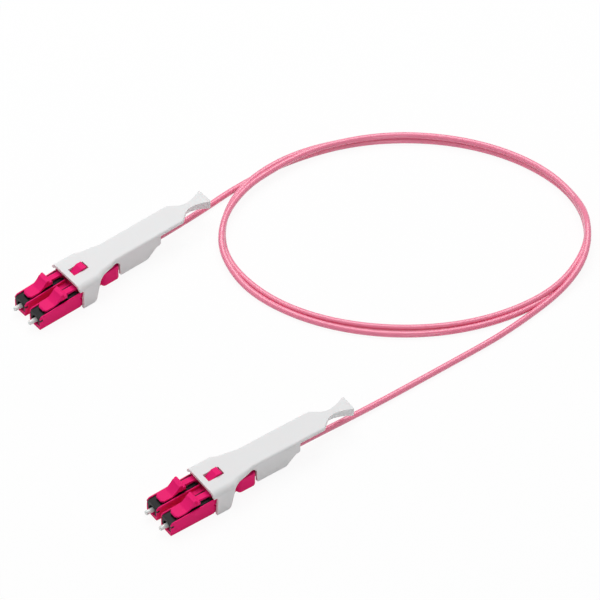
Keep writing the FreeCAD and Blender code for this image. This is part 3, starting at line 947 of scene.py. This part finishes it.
@dataclass
class Studio:
    """The floor, the lights, the backdrop and the camera.

    Attributes:
        azimuth: the camera's direction in degrees, 0 looking along +Y.
        elevation: its angle above the floor in degrees.
        distance: its distance in metres.
        target: the point in the middle of the view, in millimetres.
        lens: focal length in millimetres.
        sensor: width of the sensor in millimetres.
        clip: the nearest and the farthest distance that the camera sees, in metres.
        lamp_distance: distance of the lamps in metres.
        ambient: strength of the even light from all round.
        paper: share of the floor that shows plain white to the camera and in reflections. The rest is a
            lit sheet, which keeps the shadow.
        sheet: how much light that sheet gives back.
        floor_half: half of the floor's width in metres.
        gap: how far the floor is below the object, in metres.
    """

    azimuth: float = -35.5
    elevation: float = 46.75
    distance: float = 1.6
    target: Point = (52.73, 41.73, 0.0)
    lens: float = 374.1
    sensor: float = 36.0
    clip: tuple[float, float] = (0.01, 20.0)
    lamp_distance: float = 1.0
    ambient: float = 0.3
    paper: float = 0.92
    sheet: float = 0.95
    floor_half: float = 3.0
    gap: float = 0.00001

    def aimed(self, name: str, data: bpy.types.ID, azimuth: float, elevation: float,
              distance: float) -> bpy.types.Object:
        """Puts a camera or a light in the scene, aimed at the middle of the view.

        Args:
            name: the new object's name.
            data: the camera or the light.
            azimuth: the direction that it looks from in degrees, 0 looking along +Y.
            elevation: its angle above the floor in degrees.
            distance: its distance in metres.

        Returns:
            The new object.
        """
        turn, lift = math.radians(azimuth), math.radians(elevation)
        back = Vector((math.sin(turn) * math.cos(lift), -math.cos(turn) * math.cos(lift), math.sin(lift)))
        holder = bpy.data.objects.new(name, data)
        holder.location = Vector(self.target) * MM + back * distance
        holder.rotation_euler = back.to_track_quat("Z", "Y").to_euler()
        bpy.context.scene.collection.objects.link(holder)
        return holder

    def camera(self) -> None:
        """Places the camera."""
        made = bpy.data.cameras.new("camera")
        made.lens = self.lens
        made.sensor_width = self.sensor
        made.clip_start, made.clip_end = self.clip
        holder = self.aimed("camera", made, self.azimuth, self.elevation, self.distance)
        bpy.context.scene.camera = holder

    def lamp(self, name: str, azimuth: float, elevation: float, size: float, watts: float) -> None:
        """Adds a square soft light.

        Args:
            name: the light's name.
            azimuth: the direction that it shines from, as for the camera.
            elevation: its angle above the floor.
            size: its width in metres.
            watts: its power.
        """
        data = bpy.data.lights.new(name, "AREA")
        data.size = size
        data.energy = watts
        self.aimed(name, data, azimuth, elevation, self.lamp_distance)

    def seen(self, tree: bpy.types.NodeTree) -> bpy.types.NodeSocket:
        """Adds the test for rays that show the background: the camera's, mirrored and passed on.

        Args:
            tree: the material's or world's tree.

        Returns:
            The socket that is 1 for such a ray.
        """
        path = tree.nodes.new("ShaderNodeLightPath")
        last = path.outputs["Is Camera Ray"]
        for ray in ("Is Glossy Ray", "Is Transmission Ray"):
            either = tree.nodes.new("ShaderNodeMath")
            either.operation = "MAXIMUM"
            tree.links.new(last, either.inputs[0])
            tree.links.new(path.outputs[ray], either.inputs[1])
            last = either.outputs[0]
        return last

    def floor(self) -> None:
        """Lays a pale floor that keeps the object's shadow."""
        mesh = bpy.data.meshes.new("floor")
        half = self.floor_half
        corners = [(-half, -half, 0.0), (half, -half, 0.0), (half, half, 0.0), (-half, half, 0.0)]
        mesh.from_pydata(corners, [], [(0, 1, 2, 3)])
        paper = bpy.data.materials.new("Floor paper")
        paper.use_nodes = True
        tree = paper.node_tree
        tree.nodes.clear()
        out = tree.nodes.new("ShaderNodeOutputMaterial")
        sheet = tree.nodes.new("ShaderNodeBsdfDiffuse")
        sheet.inputs["Color"].default_value = (self.sheet, self.sheet, self.sheet, 1.0)
        glow = tree.nodes.new("ShaderNodeEmission")
        glow.inputs["Color"].default_value = (1.0, 1.0, 1.0, 1.0)
        mix = tree.nodes.new("ShaderNodeMixShader")
        share = tree.nodes.new("ShaderNodeMath")
        share.operation = "MULTIPLY"
        share.inputs[1].default_value = self.paper
        tree.links.new(self.seen(tree), share.inputs[0])
        tree.links.new(share.outputs[0], mix.inputs["Fac"])
        tree.links.new(sheet.outputs[0], mix.inputs[1])
        tree.links.new(glow.outputs[0], mix.inputs[2])
        tree.links.new(mix.outputs[0], out.inputs["Surface"])
        piece = place_mesh("floor", mesh, paper)
        piece.location.z = -self.gap

    def world(self) -> None:
        """Sets an even, white surround."""
        made = bpy.data.worlds.new("studio")
        made.use_nodes = True
        tree = made.node_tree
        ground = tree.nodes["Background"]
        ground.inputs["Color"].default_value = (1.0, 1.0, 1.0, 1.0)
        level = tree.nodes.new("ShaderNodeMapRange")
        level.inputs["To Min"].default_value = self.ambient
        level.inputs["To Max"].default_value = 1.0
        tree.links.new(self.seen(tree), level.inputs["Value"])
        tree.links.new(level.outputs["Result"], ground.inputs["Strength"])
        bpy.context.scene.world = made

    def build(self) -> None:
        """Builds the studio."""
        self.camera()
        self.floor()
        self.world()
        self.lamp("key", azimuth=150.0, elevation=66.0, size=0.9, watts=8.0)
        self.lamp("sheen", azimuth=-125.0, elevation=38.0, size=0.9, watts=1.2)
        self.lamp("fill", azimuth=-25.0, elevation=14.0, size=0.3, watts=0.7)
        bpy.context.scene.view_settings.view_transform = "Standard"


def main() -> None:
    """Builds the patch cord and its studio."""
    logging.basicConfig(level=logging.INFO, format="%(message)s")
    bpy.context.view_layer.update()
    Studio().build()
    log.info("%s on cord_set", PatchCord().build().name)
    ribs = RibTree()
    for end in End:
        Connector(end, ribs).build()


if __name__ == "__main__":
    main()
